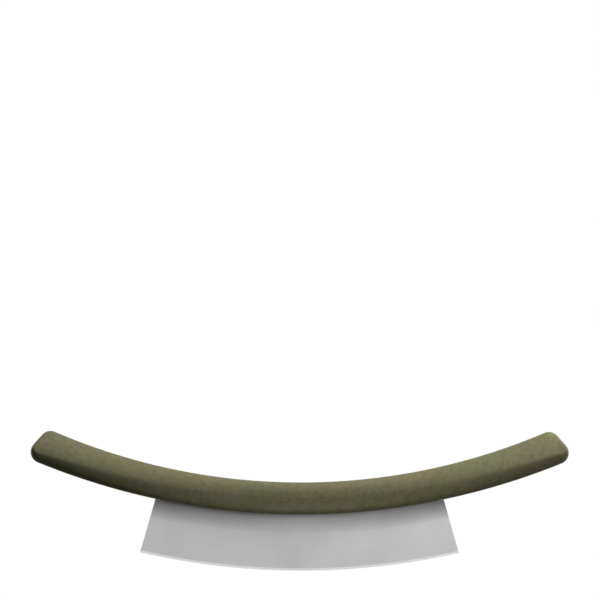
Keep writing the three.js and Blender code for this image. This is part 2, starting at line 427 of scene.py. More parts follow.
@dataclass
class Bar:
    """Outer form of the grip bar, and the lines that other pieces meet it on."""

    length: float = 384.6 * MM
    height: float = 22.6 * MM
    depth: float = 20 * MM
    swell: float = 2.3 * MM
    depth_swell: float = 6 * MM
    middle: Fullness = Fullness(3.0, 10.0, 0.12)
    ends: Fullness = Fullness(1.65, 1.75)
    waist_middle: float = 0.05
    waist_end: float = -0.42
    waist_tip: float = -0.85
    end_slant: float = math.radians(18)
    end_corner: float = 8 * MM
    end_round: float = 1.5 * MM
    bend: Bend = field(default_factory=Bend)

    def half_height_at(self, along: float) -> float:
        """Half of the bar's height at a station."""
        return (self.height + self.swell * (along / (self.length / 2)) ** 2) / 2

    def half_depth_at(self, along: float) -> float:
        """Half of the bar's depth at a station."""
        return (self.depth + self.depth_swell * (along / (self.length / 2)) ** 2) / 2

    def corner(self, edge: Edge) -> tuple[float, float]:
        """Centre of the right end's round corner.

        Args:
            edge: Upper or lower corner.

        Returns:
            Its distance along and its rise.
        """
        half = self.length / 2
        rise = edge.value * (self.half_height_at(half - self.end_corner) - self.end_corner)
        along = half - rise * math.tan(self.end_slant) - self.end_corner / math.cos(self.end_slant)
        return along, rise

    @property
    def corner_start(self) -> float:
        """Mean station at which the ends' corners start."""
        return (self.corner(Edge.CROWN)[0] + self.corner(Edge.KEEL)[0]) / 2

    @property
    def end_station(self) -> float:
        """Station of the end face, halfway up."""
        return self.corner_start + self.end_corner * math.cos(self.end_slant)

    def rounding(self, left: float) -> float:
        """Depth that the round of the end face takes off, by the distance that is left to the face."""
        short = self.end_round - min(max(left, 0.0), self.end_round)
        return self.end_round - math.sqrt(self.end_round ** 2 - short ** 2)

    def way_out(self, along: float) -> float:
        """Share of the way from mid-length to the corners."""
        return min(1.0, abs(along) / self.corner_start)

    def end_share(self, along: float) -> float:
        """Share of the ends' fullness at a station, which grows smoothly from mid-length."""
        way = self.way_out(along)
        return way * way * (3 - 2 * way)

    def waist_at(self, along: float) -> float:
        """Height of the widest line over the middle, as a share of half the height. It drops to the ends."""
        return mix(self.waist_middle, self.waist_end, self.way_out(along) ** 3)

    def quarter_ring(self, crown: tuple[float, float], keel: tuple[float, float], depth: float, waist: float,
                     section: Section) -> Ring:
        """Ring of an upper or lower quarter between a crown point and a keel point.

        Args:
            crown: Along and rise of the upper end of the upright.
            keel: Along and rise of its lower end.
            depth: Half depth of the bar there.
            waist: Height of the widest line above the middle, as a share of half the height.
            section: Which quarter to make.

        Returns:
            The ring, standing on the bar's widest line.
        """
        run, climb = crown[0] - keel[0], crown[1] - keel[1]
        share = (1 + waist) / 2
        height = math.hypot(run, climb) * (share if section is Section.LOWER_QUARTER else 1 - share)
        return Ring(mix(keel[0], crown[0], share), mix(keel[1], crown[1], share), height, depth,
                    math.atan2(-run, climb))

    def stretch(self, section: Section, inset: float, reach: float, count: int) -> list[Ring]:
        """Rings between the ends' corners.

        Args:
            section: Which quarter to make.
            inset: Distance in from the bar's outside.
            reach: Share of the way to the corners.
            count: Number of steps from end to end.

        Returns:
            The rings from left to right.
        """
        rings = []
        for share in steps(-reach, reach, count):
            crown, keel = (share * self.corner(edge)[0] for edge in Edge)
            rings.append(self.quarter_ring(
                (crown, self.half_height_at(crown) - inset),
                (keel, inset - self.half_height_at(keel)),
                self.half_depth_at(share * self.corner_start) - inset,
                self.waist_at(share * self.corner_start),
                section,
            ))
        return rings

    def end(self, section: Section, sign: int, count: int) -> list[Ring]:
        """Rings round the corners of one end, to its flat face.

        Args:
            section: Which quarter to make.
            sign: -1 for the left end, 1 for the right.
            count: Number of steps round a corner.

        Returns:
            The rings from the corners' start outwards.
        """
        rings = []
        for share in steps(0, 1, count)[1:]:
            points = []
            for edge in Edge:
                along, rise = self.corner(edge)
                angle = mix(edge.value * math.pi / 2, self.end_slant, share)
                points.append((sign * (along + self.end_corner * math.cos(angle)),
                               rise + self.end_corner * math.sin(angle)))
            left = self.end_station - abs(points[0][0] + points[1][0]) / 2
            depth = self.half_depth_at(self.corner_start) - self.rounding(left)
            waist = mix(self.waist_end, self.waist_tip, share)
            rings.append(self.quarter_ring(points[0], points[1], depth, waist, section))
        return rings

    def front_half(self, name: str, inset: float = 0.0, reach: float = 1.0, count: int = 73, facets: int = 24,
                   end_steps: int = 0) -> Piece:
        """Solid front half of the bar, straight and lying flat, from two quarters welded on the widest line.

        Args:
            name: Name of the body.
            inset: Distance in from the bar's outside.
            reach: Share of the way to the ends' corners.
            count: Steps along the bar.
            facets: Steps round a quarter.
            end_steps: Steps round the ends' corners, 0 to stop square before them.

        Returns:
            The closed half body.
        """
        quarters = []
        for section in (Section.UPPER_QUARTER, Section.LOWER_QUARTER):
            rings = self.stretch(section, inset, reach, count)
            if end_steps:
                rings = self.end(section, -1, end_steps)[::-1] + rings + self.end(section, 1, end_steps)
            drawn = []
            for fullness in (self.middle, self.ends):
                quarter = draw_out(name, section, rings, facets=facets, **fullness.of(section))
                with editing(quarter):
                    pick(quarter, Pick.FACES,
                         lambda face: all(stands_on_foot(corner, rings) for corner in face.verts))
                    bpy.ops.mesh.delete(type="FACE")
                drawn.append(quarter)
            blend_shape(*drawn, self.end_share)
            quarters.append(drawn[0])
        return joined(name, quarters)

    def whole(self, name: str, **settings: Any) -> Piece:
        """Both halves of an inner body in one, straight and lying flat.

        Args:
            name: Name of the body.
            settings: As for front_half.

        Returns:
            The closed body.
        """
        body = self.front_half(name, **settings)
        with editing(body):
            pick(body, Pick.FACES, on_joint_plane)
            bpy.ops.mesh.delete(type="FACE")
        apply_modifier(body, "MIRROR", use_axis=(False, False, True), merge_threshold=TOUCH)
        with editing(body):
            pick(body, Pick.EDGES, on_joint_plane)
            bpy.ops.mesh.dissolve_edges(use_verts=True)
        return joined(name, [body])


@dataclass
class Dowels:
    """Steel dowels across the joint: five through the tang and one near each end of the grip."""

    diameter: float = 4 * MM
    half_length: float = 6.5 * MM
    chamfer: float = 0.5 * MM
    clearance: float = 0.2 * MM
    tang_station: float = 81.21 * MM
    end_station: float = 165.09 * MM
    sides: int = 30
    bend: Bend = field(default_factory=Bend)

    @property
    def tang_stations(self) -> list[float]:
        """Stations of the dowels that pass through the tang, from left to right."""
        return steps(-self.tang_station, self.tang_station, 4)

    @property
    def stations(self) -> dict[str, float]:
        """Station of each dowel, by the name of its CAD node."""
        named = {f"tang_pin_{i + 1}": station for i, station in enumerate(self.tang_stations)}
        return {**named, "end_pin_left": -self.end_station, "end_pin_right": self.end_station}

    def round_bar(self, name: str, station: float, radius: float, half_length: float) -> Piece:
        """Round bar across the joint, with its place in its mesh.

        Args:
            name: Name of the body.
            station: Place along the centreline.
            radius: Its radius.
            half_length: Its reach to each side of the joint.

        Returns:
            The closed body.
        """
        bpy.ops.object.select_all(action="DESELECT")
        bpy.ops.mesh.primitive_cylinder_add(vertices=self.sides, radius=radius, depth=2 * half_length,
                                            location=self.bend.place(station), rotation=(math.pi / 2, 0, 0))
        body = bpy.context.object
        body.name = name
        settle()
        return body

    def holes(self, name: str, stations: Sequence[float], half_length: float) -> Piece:
        """Tool body for the holes of some dowels.

        Args:
            name: Name of the tool.
            stations: Places along the centreline.
            half_length: Its reach to each side of the joint.

        Returns:
            One object that holds a round bar for each hole.
        """
        radius = self.diameter / 2 + self.clearance
        return joined(name, [self.round_bar(name, station, radius, half_length) for station in stations])

    def build(self) -> dict[str, Piece]:
        """Turn one chamfered dowel, then copy it to each place.

        Returns:
            The dowels by the name of the CAD node that each one replaces.
        """
        pattern = self.round_bar("dowel_pattern", 0.0, self.diameter / 2, self.half_length)
        with editing(pattern):
            pick(pattern, Pick.EDGES, keeps_depth)
            bpy.ops.mesh.bevel(offset=self.chamfer, segments=3, profile=0.5)
        made = {}
        for node, station in self.stations.items():
            dowel = copy_of(pattern, f"dowel_{node}")
            dowel.location = self.bend.place(station) - self.bend.place(0.0)
            settle()
            made[node] = dowel
        discard(pattern)
        return made


@dataclass
class Blade:
    """Ground steel sheet: a flared plate with an arced edge, and a tang that stands up into the grip."""

    bar: Bar
    dowels: Dowels
    thickness: float = 1.8 * MM
    length: float = 225.5 * MM
    edge_radius: float = 506 * MM
    edge_land: float = 0.15 * MM
    bevel_height: float = 1.6 * MM
    flare: float = math.radians(16)
    tang_half: float = 97.21 * MM
    tang_rise: float = 5 * MM
    seat: float = 0.3 * MM
    shoulder_gap: float = 0.05 * MM
    eased_edge: float = 0.12 * MM
    edge_facets: int = 1440
    blank_half: float = 125 * MM
    blank_foot: float = -72 * MM
    blank_steps: int = 60
    notch_half: float = 135 * MM
    notch_top: float = 20 * MM
    notch_steps: int = 16

    @property
    def corner_height(self) -> float:
        """Height of the edge's corners above its lowest point."""
        return self.edge_radius - math.sqrt(self.edge_radius ** 2 - (self.length / 2) ** 2)

    def blank(self) -> Piece:
        """Sheet from below the edge to the top of the tang, bent with the bar.

        Returns:
            The blank, standing in the frame.
        """
        height = self.tang_rise - self.blank_foot
        rings = [Ring(along, self.blank_foot, height, self.thickness / 2)
                 for along in steps(-self.blank_half, self.blank_half, self.blank_steps)]
        body = draw_out("blade_ground", Section.BLOCK, rings)
        self.bar.bend.apply(body)
        return body

    def notch(self, sign: int) -> Piece:
        """Tool body that clears the sheet beside the tang, above one shoulder.

        Args:
            sign: -1 for the left shoulder, 1 for the right.

        Returns:
            The tool, standing in the frame.
        """
        stations = sorted(sign * along for along in steps(self.tang_half, self.notch_half, self.notch_steps))
        rings = []
        for along in stations:
            shoulder = -self.bar.half_height_at(along) - self.shoulder_gap
            rings.append(Ring(along, shoulder, self.notch_top - shoulder, 3 * self.thickness))
        body = draw_out("shoulder_notch", Section.BLOCK, rings)
        self.bar.bend.apply(body)
        return body

    def edge_disc(self) -> Piece:
        """Tool body with a V-shaped rim, whose lowest part is the edge with its two ground bevels.

        Returns:
            The disc, standing in the frame.
        """
        bpy.ops.object.select_all(action="DESELECT")
        bpy.ops.mesh.primitive_cylinder_add(vertices=self.edge_facets, radius=self.edge_radius,
                                            depth=self.edge_land, rotation=(math.pi / 2, 0, 0))
        disc = bpy.context.object
        disc.name = "edge_disc"
        settle()
        run = self.thickness - self.edge_land
        narrowing = 1 - 2 * self.bevel_height / self.edge_radius
        for way in (-1, 1):
            with editing(disc):
                pick(disc, Pick.FACES, lambda face: face.normal.y * way > 0.9)
                bpy.ops.mesh.extrude_region_move(TRANSFORM_OT_translate={"value": (0, way * run, 0)})
                bpy.ops.transform.resize(value=(narrowing, 1, narrowing), center_override=(0, 0, 0))
        disc.location = (0, 0, self.edge_radius)
        settle()
        return disc

    def trim_sides(self, piece: Piece) -> None:
        """Cut both flared sides and ease their long edges.

        Args:
            piece: The blank, standing in the frame.
        """
        for sign in (-1, 1):
            corner = Vector((sign * self.length / 2, 0, self.corner_height))
            outward = Vector((sign * math.cos(self.flare), 0, math.sin(self.flare)))
            with editing(piece):
                bpy.ops.mesh.select_all(action="SELECT")
                bpy.ops.mesh.bisect(plane_co=corner, plane_no=outward, use_fill=True, clear_outer=True,
                                    threshold=TOUCH)
                pick(piece, Pick.EDGES, lambda edge: keeps_depth(edge) and all(
                    abs((end.co - corner).dot(outward)) < 5 * TOUCH for end in edge.verts))
                bpy.ops.mesh.bevel(offset=self.eased_edge, segments=2, profile=0.5)

    def build(self) -> Piece:
        """Cut the blank to its outline, grind its edge and drill its tang.

        Returns:
            The finished blade.
        """
        piece = self.blank()
        for sign in (-1, 1):
            notch = self.notch(sign)
            work(piece, notch, Cut.REMOVE)
            discard(notch)
        self.trim_sides(piece)
        disc = self.edge_disc()
        work(piece, disc, Cut.KEEP)
        holes = self.dowels.holes("tang_holes", self.dowels.tang_stations, 2 * self.thickness)
        work(piece, holes, Cut.REMOVE)
        discard(disc, holes)
        return piece

    @staticmethod
    def is_ground(face: bmesh.types.BMFace) -> bool:
        """Whether a face leans down like a ground bevel, neither upright nor level."""
        return face.normal.z < -0.15 and 0.5 < abs(face.normal.y) < 0.99

    def dress(self, piece: Piece, flank: bpy.types.Material, ground: bpy.types.Material) -> None:
        """Give the flanks and the ground bevels their finishes.

        Args:
            piece: The finished blade.
            flank: Brushed finish.
            ground: Finish of the bevels.
        """
        piece.data.materials.clear()
        piece.data.materials.append(flank)
        piece.data.materials.append(ground)
        with editing(piece):
            pick(piece, Pick.FACES, self.is_ground)
            piece.active_material_index = 1
            bpy.ops.object.material_slot_assign()


@dataclass
class Grip:
    """The grip bar's two moulded halves, hollow and ribbed, which close on the tang."""

    bar: Bar
    blade: Blade
    dowels: Dowels
    wall: float = 4 * MM
    end_wall: float = 3 * MM
    rib_thickness: float = 2 * MM
    boss_wall: float = 2.5 * MM
    overhang_ribs: int = 3
    tongue_width: float = 1 * MM
    tongue_height: float = 1.2 * MM
    tongue_inset: float = 2 * MM
    tongue_margin: float = 4 * MM
    joint_clearance: float = 0.25 * MM
    slot_clearance: float = 0.2 * MM
    seam: float = 0.12 * MM
    end_steps: int = 14
    hollow_steps: int = 36
    hollow_facets: int = 8
    slot_steps: int = 48
    strip_step: float = 6 * MM

    @property
    def hollow_reach(self) -> float:
        """Share of the way to the ends' corners that is hollow."""
        return 1 - self.end_wall / self.bar.corner_start

    @property
    def rib_stations(self) -> list[float]:
        """Places of the ribs.

        Returns:
            Stations midway between the tang's dowels, and evenly along each overhang.
        """
        pins = self.dowels.tang_stations
        between = [(left + right) / 2 for left, right in zip(pins, pins[1:])]
        overhang = steps(self.dowels.tang_station, self.dowels.end_station, self.overhang_ribs + 1)[1:-1]
        return between + overhang + [-station for station in overhang]

    def rib(self, station: float) -> Piece:
        """Flat rib across the whole bar, to be trimmed by its wall.

        Args:
            station: Place along the centreline.

        Returns:
            The rib, standing in the frame.
        """
        span = self.bar.height
        rings = [Ring(station + edge * self.rib_thickness / 2, -span, 2 * span, span) for edge in (-1, 1)]
        body = draw_out("rib", Section.BLOCK, rings)
        self.bar.bend.apply(body)
        return body

    def cavity(self) -> Piece:
        """Everything that is cut from the halves: hollow between bosses and ribs, tang slot and dowel holes.

        Returns:
            One tool body on both sides of the joint, standing in the frame.
        """
        hollow = self.bar.whole("cavity", inset=self.wall, reach=self.hollow_reach, count=self.hollow_steps,
                                facets=self.hollow_facets)
        self.bar.bend.apply(hollow)
        radius = self.dowels.diameter / 2 + self.boss_wall
        stiff = [self.dowels.round_bar("boss", station, radius, self.bar.depth)
                 for station in self.dowels.stations.values()]
        stiff += [self.rib(station) for station in self.rib_stations]
        slot = self.slot()
        depth = self.dowels.half_length + self.dowels.clearance
        holes = self.dowels.holes("dowel_holes", list(self.dowels.stations.values()), depth)
        bosses_and_ribs = joined("bosses_and_ribs", stiff)
        work(hollow, bosses_and_ribs, Cut.REMOVE)
        work(hollow, slot, Cut.ADD)
        work(hollow, holes, Cut.ADD)
        discard(bosses_and_ribs, slot, holes)
        return hollow

    def face(self, piece: Piece, side: Side) -> None:
        """Turn a front half that lies flat into the half of one side.

        Args:
            piece: A front half, straight and lying flat.
            side: Which half it becomes.
        """
        if side is Side.REAR:
            take(piece)
            piece.scale = (1, 1, -1)
            settle()
            with editing(piece):
                face_outwards()

    def shell(self, side: Side) -> Piece:
        """Solid half with its seam eased, bent and standing in the frame.

        Args:
            side: Which half.

        Returns:
            The half, before it is hollowed.
        """
        piece = self.bar.front_half(f"grip_{side.name.lower()}_half", end_steps=self.end_steps)
        with editing(piece):
            pick(piece, Pick.EDGES, on_seam)
            bpy.ops.mesh.bevel(offset=self.seam, segments=2, profile=0.5)
        self.face(piece, side)
        self.bar.bend.apply(piece)
        return piece

    def strips(self, clearance: float) -> Piece:
        """Tongue along the joint, or the groove that takes it.

        Args:
            clearance: How much wider, longer and deeper the groove is.

        Returns:
            One tool body: end to end under the crown, and two lengths over the keel.
        """
        far = self.bar.corner_start - self.tongue_margin
        near = self.blade.tang_half + self.tongue_margin
        width = self.tongue_width + 2 * clearance
        runs = ((-far, far, Edge.CROWN), (near, far, Edge.KEEL), (-far, -near, Edge.KEEL))
        bodies = []
        for low, high, edge in runs:
            rings = []
            for along in steps(low - clearance, high + clearance, round((high - low) / self.strip_step)):
                middle = edge.value * (self.bar.half_height_at(along) - self.tongue_inset)
                rings.append(Ring(along, middle - width / 2, width, self.tongue_height + clearance))
            body = draw_out("joint_strip", Section.BLOCK, rings)
            self.bar.bend.apply(body)
            bodies.append(body)
        return joined("joint_strips", bodies)

    def slot(self) -> Piece:
        """Tool body for the slot that the tang stands in.

        Returns:
            The tool, standing in the frame.
        """
        seat = self.blade.seat
        rings = []
        half = self.blade.tang_half + seat
        for along in steps(-half, half, self.slot_steps):
            foot = -self.bar.half_height_at(along) - 2 * seat
            rings.append(Ring(along, foot, self.blade.tang_rise + seat - foot,
                              self.blade.thickness / 2 + self.slot_clearance))
        body = draw_out("tang_slot", Section.BLOCK, rings)
        self.bar.bend.apply(body)
        return body

    def build(self) -> dict[Side, Piece]:
        """Mould both halves: shells with a tongue or a groove, then everything that is cut from the inside.

        Returns:
            The finished halves by side.
        """
        cavity = self.cavity()
        joint = {Side.FRONT: (self.strips(0.0), Cut.ADD),
                 Side.REAR: (self.strips(self.joint_clearance), Cut.REMOVE)}
        halves = {}
        for side in Side:
            piece = self.shell(side)
            strips, cut = joint[side]
            work(piece, strips, cut)
            work(piece, cavity, Cut.REMOVE)
            discard(strips)
            halves[side] = piece
        discard(cavity)
        return halves


class Shader:
    """Node tree of a material, a group or the world, with short calls that add and link nodes."""

    def __init__(self, tree: bpy.types.NodeTree) -> None:
        """Take a tree to work on."""
        self.tree = tree

    def feed(self, node: Node, inputs: dict[str | int, Any]) -> None:
        """Give a node's inputs their values or sources.

        Args:
            node: The node.
            inputs: Value or source socket for each input, by name or number.
        """
        for name, value in inputs.items():
            if isinstance(value, Socket):
                self.tree.links.new(value, node.inputs[name])
            else:
                node.inputs[name].default_value = value

    def add(self, kind: str, inputs: dict[str | int, Any] | None = None, **settings: Any) -> Node:
        """Add a node.

        Args:
            kind: Blender's name of the node type.
            inputs: Value or source socket for each input, by name or number.
            settings: Properties of the node.

        Returns:
            The node.
        """
        node = self.tree.nodes.new(kind)
        for name, value in settings.items():
            setattr(node, name, value)
        self.feed(node, inputs or {})
        return node

    def sum_of(self, operation: str, first: Any, second: Any = 0.0) -> Socket:
        """Result of a math node on two values or sockets."""
        return self.add("ShaderNodeMath", {0: first, 1: second}, operation=operation).outputs[0]

    def between(self, value: Socket, low: float, high: float, start: float = 0.0,
                stop: float = 1.0) -> Socket:
        """Value moved from the range start to stop into the range low to high, and kept within it."""
        sources = {"Value": value, "From Min": start, "From Max": stop, "To Min": low, "To Max": high}
        return self.add("ShaderNodeMapRange", sources).outputs["Result"]

    def swing(self, noise: Socket, reach: float) -> Socket:
        """Factor round 1 that follows a noise, by a reach to each side."""
        return self.between(noise, 1 - reach, 1 + reach, *NOISE_SPAN)

    def blend(self, share: Any, low: Any, high: Any, mode: str = "MIX") -> Socket:
        """Two colours blended, by the share of the second."""
        sources = {0: share, 6: low, 7: high}
        return self.add("ShaderNodeMix", sources, data_type="RGBA", blend_type=mode).outputs[2]

    def dimmed(self, base: Socket, factor: Socket) -> Socket:
        """Colour multiplied by one factor in all three channels."""
        factors = self.add("ShaderNodeCombineColor", {0: factor, 1: factor, 2: factor}).outputs[0]
        return self.blend(1.0, base, factors, "MULTIPLY")

    def scaled(self, point: Socket, scale: tuple[float, float, float]) -> Socket:
        """Coordinates stretched by a Mapping node."""
        return self.add("ShaderNodeMapping", {"Vector": point, "Scale": scale}).outputs["Vector"]

    def noise(self, point: Socket, scale: Any = 1.0, detail: float = 2.0, roughness: float = 0.5) -> Socket:
        """Value of a noise texture, about 0 to 1."""
        sources = {"Vector": point, "Scale": scale, "Detail": detail, "Roughness": roughness}
        return self.add("ShaderNodeTexNoise", sources).outputs["Fac"]

    def bumped(self, height: Socket, strength: float, depth: float) -> Socket:
        """Normal of a fine relief."""
        sources = {"Height": height, "Strength": strength, "Distance": depth}
        return self.add("ShaderNodeBump", sources).outputs["Normal"]

    def filled(self, tree: bpy.types.NodeTree, inputs: dict[str, Any]) -> Socket:
        """First output of a node group that is placed with values or sources for its inputs."""
        return self.add("ShaderNodeGroup", inputs, node_tree=tree).outputs[0]


def grey(level: float) -> Colour:
    """Neutral colour of one level."""
    return (level, level, level, 1.0)


def colour(red: float, green: float, blue: float) -> Colour:
    """Opaque linear colour."""
    return (red, green, blue, 1.0)


def new_group(name: str, inputs: dict[str, str], outputs: dict[str, str]) -> tuple[Shader, Node, Node]:
    """Start a shader node group with named sockets.

    Args:
        name: Name of the group.
        inputs: Socket type of each input.
        outputs: Socket type of each output.

    Returns:
        The group's shader, its input node and its output node.
    """
    tree = bpy.data.node_groups.new(name, "ShaderNodeTree")
    for way, sockets in (("INPUT", inputs), ("OUTPUT", outputs)):
        for label, kind in sockets.items():
            tree.interface.new_socket(label, in_out=way, socket_type=kind)
    shader = Shader(tree)
    return shader, shader.add("NodeGroupInput"), shader.add("NodeGroupOutput")


def new_material(name: str) -> tuple[bpy.types.Material, Shader, Node, Socket]:
    """Start a material with a Principled shader.

    Args:
        name: Name of the material.

    Returns:
        The material, its shader, the Principled node and the object coordinates.
    """
    material = bpy.data.materials.new(name)
    material.use_nodes = True
    shader = Shader(material.node_tree)
    principled = material.node_tree.nodes["Principled BSDF"]
    point = shader.add("ShaderNodeTexCoord").outputs["Object"]
    return material, shader, principled, point


@dataclass
class Effects:
    """Node groups that several finishes share."""

    bend: Bend = field(default_factory=Bend)

    def __post_init__(self) -> None:
        """Build each group once."""
        self.straight = self.straightened()
        self.clouds = self.clouding()
        self.lines = self.fine_lines()

    def straightened(self) -> bpy.types.NodeTree:
        """Group that turns object coordinates into distance along the bar, depth and rise.

        Returns:
            The group.
        """
        shader, source, result = new_group("straightened", {"Point": "NodeSocketVector"},
                                           {"Straight": "NodeSocketVector"})
        apart = shader.add("ShaderNodeSeparateXYZ", {0: source.outputs["Point"]}).outputs
        drop = shader.sum_of("SUBTRACT", self.bend.lift + self.bend.radius, apart["Z"])
        turn = shader.sum_of("ARCTAN2", apart["X"], drop)
        along = shader.sum_of("MULTIPLY", turn, self.bend.radius)
        squares = shader.sum_of("ADD", shader.sum_of("MULTIPLY", drop, drop),
                                shader.sum_of("MULTIPLY", apart["X"], apart["X"]))
        rise = shader.sum_of("SUBTRACT", self.bend.radius, shader.sum_of("SQRT", squares))
        point = shader.add("ShaderNodeCombineXYZ", {"X": along, "Y": apart["Y"], "Z": rise})
        shader.feed(result, {"Straight": point.outputs[0]})
        return shader.tree

    def clouding(self) -> bpy.types.NodeTree:
        """Group for soft patches that drift across a surface.

        Returns:
            The group.
        """
        shader, source, result = new_group("clouding",
                                           {"Point": "NodeSocketVector", "Patches": "NodeSocketFloat"},
                                           {"Clouds": "NodeSocketFloat"})
        noise = shader.noise(source.outputs["Point"], source.outputs["Patches"], 3.0, 0.55)
        shader.feed(result, {"Clouds": shader.between(noise, 0.0, 1.0, 0.32, 0.68)})
        return shader.tree

    def fine_lines(self) -> bpy.types.NodeTree:
        """Group for the fine parallel lines that an abrasive leaves on steel.

        Returns:
            The group. Its coordinates are already stretched along the lines.
        """
        shader, source, result = new_group("fine_lines",
                                           {"Point": "NodeSocketVector", "Broad Share": "NodeSocketFloat"},
                                           {"Lines": "NodeSocketFloat"})
        fine = shader.noise(source.outputs["Point"], 1.0, 3.0, 0.6)
        broad = shader.noise(source.outputs["Point"], 0.16)
        lines = shader.add("ShaderNodeMix", {0: source.outputs["Broad Share"], 2: fine, 3: broad}).outputs[0]
        shader.feed(result, {"Lines": shader.between(lines, 0.0, 1.0, 0.25, 0.75)})
        return shader.tree


@dataclass(frozen=True)
class OliveComposite:
    """Matte wood-fibre composite: greener, browner and straw patches, soft mottling, flecks and fibres."""

    green: Colour = colour(0.170, 0.187, 0.104)
    brown: Colour = colour(0.213, 0.181, 0.115)
    straw: Colour = colour(0.198, 0.186, 0.078)
    dark_fleck: Colour = colour(0.085, 0.080, 0.045)
    pale_fibre: Colour = colour(0.30, 0.28, 0.18)
    patches: float = 62.0
    patch_stretch: tuple[float, float, float] = (0.6, 1.0, 1.0)
    straw_patches: float = 85.0
    straw_share: float = 0.5
    mottle: float = 260.0
    mottle_swing: float = 0.16
    speckles: float = 1500.0
    speckle_swing: float = 0.18
    fleck_cells: float = 700.0
    fleck_size: float = 0.42
    fleck_share: float = 0.35
    fibre_stretch: tuple[float, float, float] = (160.0, 1400.0, 1400.0)
    fibre_share: float = 0.35
    roughness: tuple[float, float] = (0.62, 0.76)
    relief: float = 0.25
    relief_depth: float = 0.06 * MM
    specular: float = 0.06

    def mottled(self, shader: Shader, straight: Socket, speckle: Socket, effects: Effects) -> Socket:
        """Colour of the body with its patches and mottling.

        Args:
            shader: Nodes of the material.
            straight: Coordinates along the bar.
            speckle: Noise of the finest grain.
            effects: Shared node groups.

        Returns:
            The colour.
        """
        stretched = shader.scaled(straight, self.patch_stretch)
        clouds = shader.filled(effects.clouds, {"Point": stretched, "Patches": self.patches})
        straws = shader.filled(effects.clouds, {"Point": straight, "Patches": self.straw_patches})
        patched = shader.blend(clouds, self.green, self.brown)
        body = shader.blend(shader.between(straws, 0.0, self.straw_share), patched, self.straw)
        mottle = shader.noise(straight, self.mottle, 3.0, 0.8)
        tone = shader.sum_of("MULTIPLY", shader.swing(speckle, self.speckle_swing),
                             shader.swing(mottle, self.mottle_swing))
        return shader.dimmed(body, tone)

    def flecked(self, shader: Shader, straight: Socket, body: Socket) -> Socket:
        """Body colour with dark flecks and pale fibres in it.

        Args:
            shader: Nodes of the material.
            straight: Coordinates along the bar.
            body: Colour of the body.

        Returns:
            The colour.
        """
        cells = shader.add("ShaderNodeTexVoronoi", {"Vector": straight, "Scale": self.fleck_cells}).outputs
        chance = shader.add("ShaderNodeSeparateColor", {0: cells["Color"]}).outputs[0]
        radius = shader.between(chance, 0.0, self.fleck_size, 0.55, 1.0)
        spot = shader.sum_of("SUBTRACT", radius, cells["Distance"])
        dark = shader.blend(shader.between(spot, 0.0, self.fleck_share, 0.0, 0.2), body, self.dark_fleck)
        strands = shader.noise(shader.scaled(straight, self.fibre_stretch))
        return shader.blend(shader.between(strands, 0.0, self.fibre_share, 0.64, 0.72), dark, self.pale_fibre)

    def material(self, effects: Effects) -> bpy.types.Material:
        """Build the material.

        Args:
            effects: Shared node groups.

        Returns:
            The material.
        """
        material, shader, principled, point = new_material("olive_composite")
        straight = shader.filled(effects.straight, {"Point": point})
        speckle = shader.noise(straight, self.speckles, 2.0, 0.65)
        body = self.mottled(shader, straight, speckle, effects)
        shader.feed(principled, {
            "Base Color": self.flecked(shader, straight, body),
            "Roughness": shader.between(speckle, *self.roughness, *NOISE_SPAN),
            "Normal": shader.bumped(speckle, self.relief, self.relief_depth),
            "Specular IOR Level": self.specular,
        })
        return material


class Lines(Enum):
    """Direction of the abrasive lines, as the stretch of the coordinates."""

    UPRIGHT = (3600.0, 3600.0, 26.0)
    TURNED = (300.0, 4200.0, 300.0)


@dataclass(frozen=True)
class Steel:
    """Stainless steel with abrasive lines.

    A flank can have a band of painted shade close under the bar: its tone is darkened there to stand for the
    bar's shadow, which the sheet itself probably doesn't have. The four band fields hold, in turn, the share
    of the tone that is lost there, at mid-length and at the two sides; the rise of the band's upper rim; its
    width; and the distance from mid-length at which it is strongest.
    """

    name: str
    dark: float
    pale: float
    roughness: float
    spread: float
    lines: Lines
    relief: float = 0.06
    relief_depth: float = 0.02 * MM
    broad_share: float = 0.45
    smudges: float = 30.0
    smudge_swing: float = 0.03
    painted_shade_band: tuple[float, float] | None = None
    painted_shade_edge: float = -11.3 * MM
    painted_shade_reach: float = 14 * MM
    painted_shade_half: float = 95 * MM

    def tone_left_by_painted_shade(self, shader: Shader, point: Socket, effects: Effects) -> Socket:
        """Share of the tone that the band of painted shade under the bar leaves.

        Args:
            shader: Nodes of the material.
            point: Object coordinates.
            effects: Shared node groups.

        Returns:
            The share, 1 below the band.
        """
        straight = shader.filled(effects.straight, {"Point": point})
        place = shader.add("ShaderNodeSeparateXYZ", {0: straight}).outputs
        aside = shader.sum_of("ABSOLUTE", place["X"])
        band = shader.between(aside, *self.painted_shade_band, 0.0, self.painted_shade_half)
        near = shader.between(place["Z"], 0.0, 1.0, self.painted_shade_edge - self.painted_shade_reach, self.painted_shade_edge)
        return shader.sum_of("SUBTRACT", 1.0, shader.sum_of("MULTIPLY", band, near))

    def material(self, effects: Effects) -> bpy.types.Material:
        """Build the material.

        Args:
            effects: Shared node groups.

        Returns:
            The material.
        """
        material, shader, principled, point = new_material(self.name)
        drawn = shader.scaled(point, self.lines.value)
        lines = shader.filled(effects.lines, {"Point": drawn, "Broad Share": self.broad_share})
        clouds = shader.filled(effects.clouds, {"Point": point, "Patches": self.smudges})
        tone = shader.blend(lines, grey(self.dark), grey(self.pale))
        # Painted shade: the tone is darkened in a band just under the bar, standing for the bar's shadow on
        # the flank.
        if self.painted_shade_band:
            tone = shader.dimmed(tone, self.tone_left_by_painted_shade(shader, point, effects))
        gloss = shader.between(lines, self.roughness - self.spread, self.roughness + self.spread)
        smudge = shader.between(clouds, -self.smudge_swing, self.smudge_swing)
        shader.feed(principled, {
            "Base Color": tone,
            "Roughness": shader.sum_of("ADD", gloss, smudge),
            "Normal": shader.bumped(lines, self.relief, self.relief_depth),
            "Metallic": 1.0,
        })
        return material


